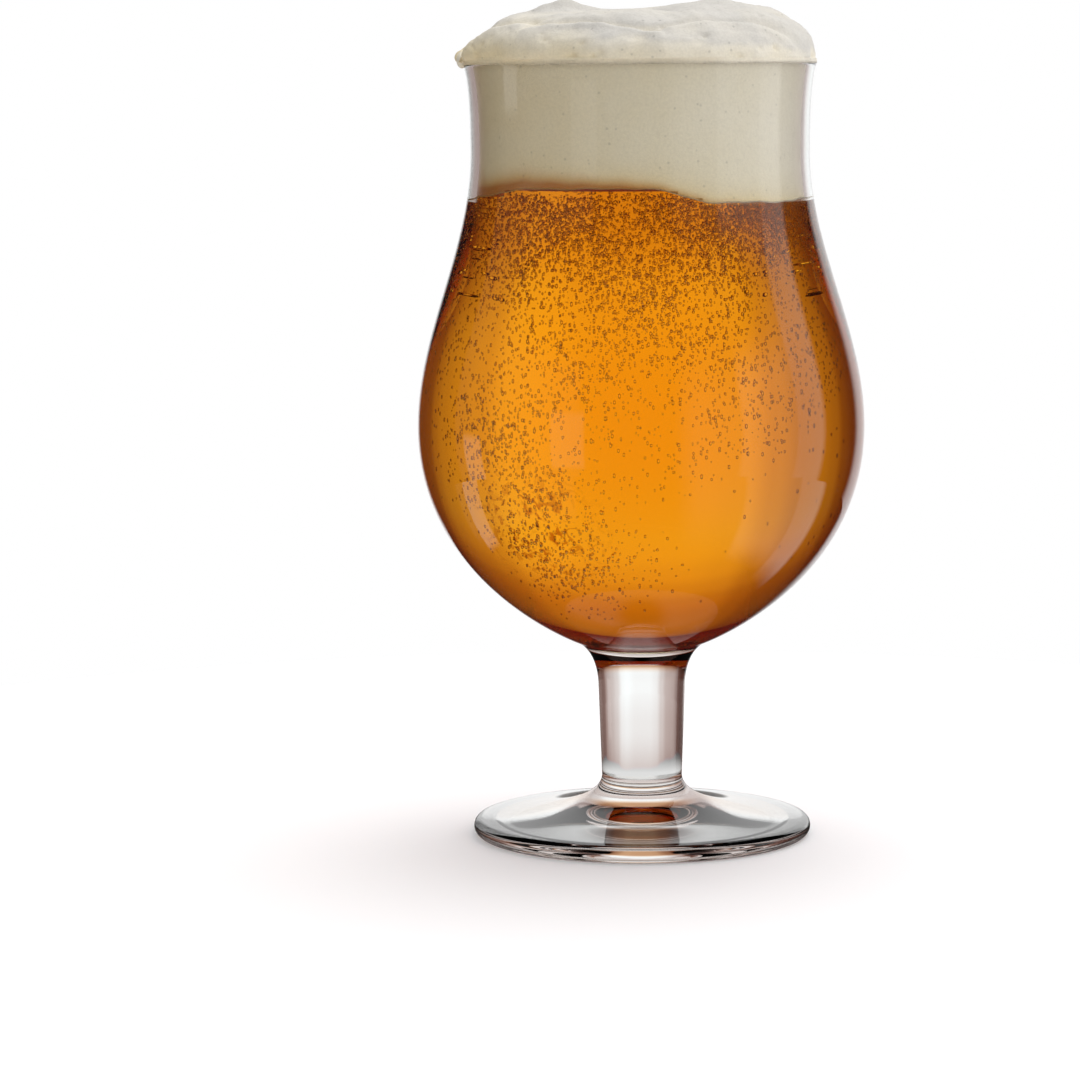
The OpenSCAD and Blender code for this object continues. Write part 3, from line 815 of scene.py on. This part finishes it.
def make_world():
    """Even soft light from all round, more from the right, and a broad light overhead, a little behind the
    glass. The camera sees white, and glass sees the studio. A ray that has left the foam or the tabletop
    takes the light as it is, also through glass, but without the overhead light there, so that the glass
    has a shadow."""
    world = bpy.data.worlds.new("studio")
    bpy.context.scene.world = world
    world.use_nodes = True
    tree = world.node_tree
    tree.nodes.clear()
    direction = add(tree, "ShaderNodeTexCoord").outputs["Generated"]
    passed, mirrored = studio(tree, direction)
    x = add(tree, "ShaderNodeSeparateXYZ", {0: direction}).outputs[0]
    light = add(tree, "ShaderNodeMath", {
        0: x, 1: RIGHT_LIGHT, 2: PLAIN_LIGHT}, operation="MULTIPLY_ADD").outputs[0]
    over = add(tree, "ShaderNodeVectorMath", {0: direction, 1: OVERHEAD_WAY}, operation="DOT_PRODUCT")
    over = add(tree, "ShaderNodeMath", {0: over.outputs["Value"], 1: 0.0}, operation="MAXIMUM").outputs[0]
    over = add(tree, "ShaderNodeMath", {0: over, 1: OVERHEAD_POWER}, operation="POWER").outputs[0]
    path = add(tree, "ShaderNodeLightPath").outputs
    free = add(tree, "ShaderNodeMath", {
        0: path["Transmission Depth"], 1: 0.5}, operation="LESS_THAN").outputs[0]
    over = add(tree, "ShaderNodeMath", {0: over, 1: free}, operation="MULTIPLY").outputs[0]
    light = add(tree, "ShaderNodeMath", {
        0: over, 1: OVERHEAD_LIGHT, 2: light}, operation="MULTIPLY_ADD").outputs[0]
    first = add(tree, "ShaderNodeMath", {0: path["Diffuse Depth"], 1: 0.5}, operation="LESS_THAN").outputs[0]
    for ray, seen in (("Is Glossy Ray", mirrored), ("Is Transmission Ray", passed)):
        share = add(tree, "ShaderNodeMath", {0: path[ray], 1: first}, operation="MULTIPLY").outputs[0]
        light = add(tree, "ShaderNodeMix", {0: share, 6: light, 7: seen}, data_type="RGBA").outputs[2]
    light = add(tree, "ShaderNodeMix", {0: path["Is Camera Ray"], 6: light, 7: linear("#FFFFFF")},
                data_type="RGBA").outputs[2]
    shine = add(tree, "ShaderNodeBackground", {"Color": light}).outputs[0]
    add(tree, "ShaderNodeOutputWorld", {"Surface": shine})


def white_laminate():
    """A matt white board. A little light of its own brings it to white for the camera where nothing shades
    it. Glass sees it bright near the foot, with a painted brown shadow on it under the foot, and further
    off as the studio is, so that no horizon shows in the glass."""
    material, tree = new_material("white_laminate")
    place = add(tree, "ShaderNodeTexCoord").outputs["Object"]
    from_bowl = add(tree, "ShaderNodeVectorMath", {0: place, 1: (0, 0, -BELLY_Z * MM)}, operation="ADD")
    passed, mirrored = studio(tree, from_bowl.outputs[0])
    path = add(tree, "ShaderNodeLightPath").outputs
    seen = add(tree, "ShaderNodeMapRange", {
        "Value": path["Glossy Depth"], "To Min": BOARD_SEEN, "To Max": BOARD_SEEN_AGAIN}).outputs[0]
    away = add(tree, "ShaderNodeVectorMath", {0: place}, operation="LENGTH").outputs["Value"]
    near = add(tree, "ShaderNodeMapRange", {
        "Value": away, "From Min": BOARD_FAR * MM, "From Max": BOARD_NEAR * MM, "To Max": seen},
        interpolation_type="SMOOTHSTEP").outputs[0]
    # A painted brown shadow under the foot, which only glass sees
    to_spot = tuple(-value * MM for value in SPOT_PLACE)
    spot = add(tree, "ShaderNodeVectorMath", {0: place, 1: to_spot}, operation="ADD").outputs[0]
    spot = add(tree, "ShaderNodeVectorMath", {
        0: spot, 1: (SPOT_SQUEEZE, 1, 1)}, operation="MULTIPLY").outputs[0]
    spot = add(tree, "ShaderNodeVectorMath", {0: spot}, operation="LENGTH").outputs["Value"]
    spot = add(tree, "ShaderNodeMapRange", {
        "Value": spot, "From Min": SPOT_FULL * MM, "From Max": SPOT_GONE * MM},
        interpolation_type="SMOOTHSTEP").outputs[0]
    brown = add(tree, "ShaderNodeMix", {
        0: spot, 6: linear(SHADOW_SPOT_TINT), 7: linear("#FFFFFF")}, data_type="RGBA")
    near = add(tree, "ShaderNodeMix", {0: 1.0, 6: near, 7: brown.outputs[2]}, data_type="RGBA",
               blend_type="MULTIPLY").outputs[2]
    passed = add(tree, "ShaderNodeMix", {
        0: spot, 6: linear("#000000"), 7: passed}, data_type="RGBA").outputs[2]
    passed = add(tree, "ShaderNodeMix", {0: 1.0, 6: passed, 7: near}, data_type="RGBA",
                 blend_type="LIGHTEN").outputs[2]
    first = add(tree, "ShaderNodeMath", {0: path["Diffuse Depth"], 1: 0.5}, operation="LESS_THAN").outputs[0]
    glow = add(tree, "ShaderNodeMath", {
        0: path["Is Camera Ray"], 1: BOARD_GLOW}, operation="MULTIPLY").outputs[0]
    matt = add(tree, "ShaderNodeBsdfDiffuse", {"Color": linear(BOARD_WHITE)}).outputs[0]
    own = add(tree, "ShaderNodeEmission", {"Strength": glow}).outputs[0]
    board = add(tree, "ShaderNodeAddShader", {0: matt, 1: own}).outputs[0]
    for ray, colour in (("Is Glossy Ray", mirrored), ("Is Transmission Ray", passed)):
        share = add(tree, "ShaderNodeMath", {0: path[ray], 1: first}, operation="MULTIPLY").outputs[0]
        shown = add(tree, "ShaderNodeEmission", {"Color": colour}).outputs[0]
        board = add(tree, "ShaderNodeMixShader", {0: share, 1: board, 2: shown}).outputs[0]
    add(tree, "ShaderNodeOutputMaterial", {"Surface": board})
    return material


def make_tabletop():
    """A round pale tabletop under the glass."""
    radius, steps = 260, 96
    ring = around(np.array([[radius]]), np.array([[0.0]]), steps)[0]
    mesh = bpy.data.meshes.new("tabletop")
    mesh.from_pydata((ring * MM).tolist(), [], [list(range(steps))])
    mesh.materials.append(white_laminate())
    made = bpy.data.objects.new("tabletop", mesh)
    bpy.context.collection.objects.link(made)


# The photograph's view: the camera is level with the lip, looks down at the belly, and has the glass on its
# right. The focal length and the place of the glass's axis are in the photograph's pixels
PHOTO_SIDE = 1080
FOCAL_LENGTH = 4012
AXIS_AT = 639
CAMERA_AWAY = 824.8
CAMERA_UP = 158.8
CAMERA_PITCH = 6.731
CAMERA_ROLL = 0.35
SENSOR = 36


def make_camera():
    """The camera, turned so that the glass's axis comes where it is in the photograph."""
    data = bpy.data.cameras.new("camera")
    data.sensor_width = SENSOR
    data.lens = SENSOR * FOCAL_LENGTH / PHOTO_SIDE
    camera = bpy.data.objects.new("camera", data)
    camera.location = Vector((0, -CAMERA_AWAY, CAMERA_UP)) * MM
    yaw = math.atan((AXIS_AT - PHOTO_SIDE / 2) / FOCAL_LENGTH)
    camera.rotation_euler = Euler((math.radians(90 - CAMERA_PITCH), math.radians(CAMERA_ROLL), yaw), "XYZ")
    bpy.context.collection.objects.link(camera)
    bpy.context.scene.camera = camera


make_camera()
make_glass()
make_beer()
gas = gas_bubble()
bubble_curtain(gas)
clinging_bubbles(gas)
fine_bubbles(gas)
make_foam()
make_foam_drop()
make_tabletop()
make_world()

# Light goes through many faces of glass, beer and bubbles, and blurring it would darken the foam behind them
scene = bpy.context.scene
scene.view_settings.view_transform = "Standard"
scene.cycles.max_bounces = 16
scene.cycles.transmission_bounces = 16
scene.cycles.blur_glossy = 0
